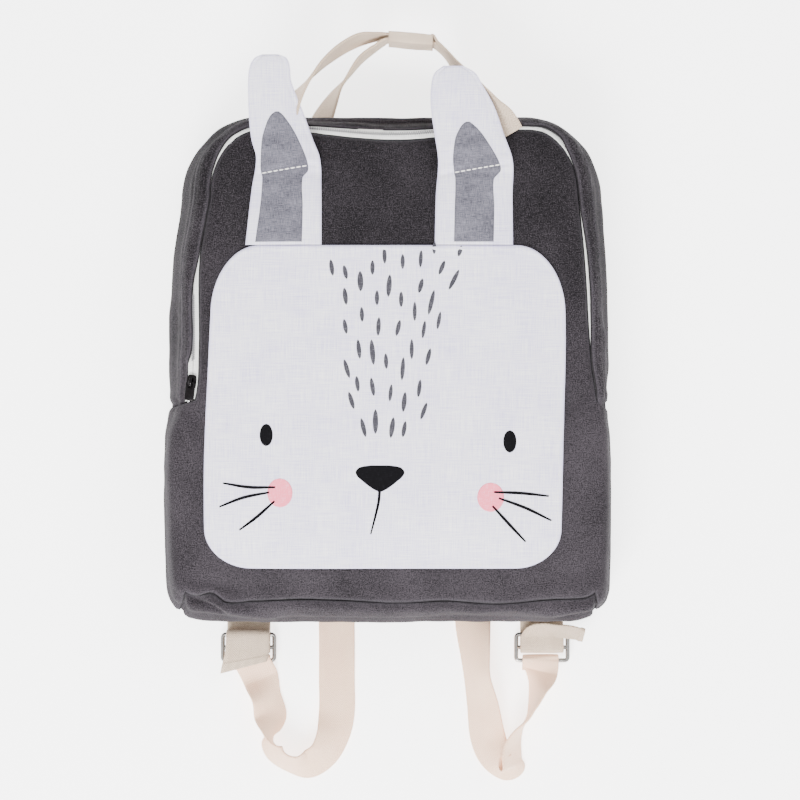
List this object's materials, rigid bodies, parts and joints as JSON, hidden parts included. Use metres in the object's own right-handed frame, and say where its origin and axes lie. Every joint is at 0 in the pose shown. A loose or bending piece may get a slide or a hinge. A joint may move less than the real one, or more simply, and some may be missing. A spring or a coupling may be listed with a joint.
{
  "type": "kids animal backpack",
  "caption": "Small canvas backpack with a rabbit face panel, stand-up ears, arched zip, top handles and webbing shoulder straps, lying on its back.",
  "frame": {"origin": "on the floor that the bag lies on, under the middle of its bounding box", "axes": "+X to the right as the face is seen, +Y from the bag's bottom towards its ears, +Z out of the face, up from the floor"},
  "size_m": [0.3052, 0.5126, 0.0771],
  "materials": {
    "canvas": "charcoal cotton canvas, heathered weave, matt",
    "zip_tape": "off-white woven zip tape",
    "zip_coil": "off-white nylon coil",
    "white_cloth": "white cotton, printed with a rabbit's face",
    "grey_cloth": "grey chambray",
    "dark_metal": "dark nickel, polished",
    "bright_metal": "bright nickel",
    "twill": "beige cotton twill webbing",
    "cotton_webbing": "cream cotton webbing"
  },
  "bodies": {
    "bag": {"front_panel": "canvas", "bottom_panel": "canvas", "zip_band": "canvas", "back_panel": "canvas", "zip_tape_front": "zip_tape", "zip_tape_back": "zip_tape", "zip_coil": "zip_coil", "face_panel": "white_cloth", "ear_left": "white_cloth", "ear_right": "white_cloth", "ear_inner_left": "grey_cloth", "ear_inner_right": "grey_cloth", "zip_slider": "dark_metal", "lower_webbing_left": "twill", "lower_webbing_right": "twill", "adjuster_left": "bright_metal", "adjuster_right": "bright_metal", "strap_left": "cotton_webbing", "strap_right": "cotton_webbing", "handle_front": "twill", "handle_back": "twill", "handle_sleeve": "twill"},
    "zip_pull": {"zip_pull": "dark_metal"}
  },
  "joints": [
    {"name": "zip_pull_hinge", "type": "hinge", "parent": "bag", "child": "zip_pull", "pos_m": [-0.13105, 0.02021, 0.06394], "axis": [-0.9769, 0.1427, -0.1592], "range_deg": [0, 150]}
  ]
}
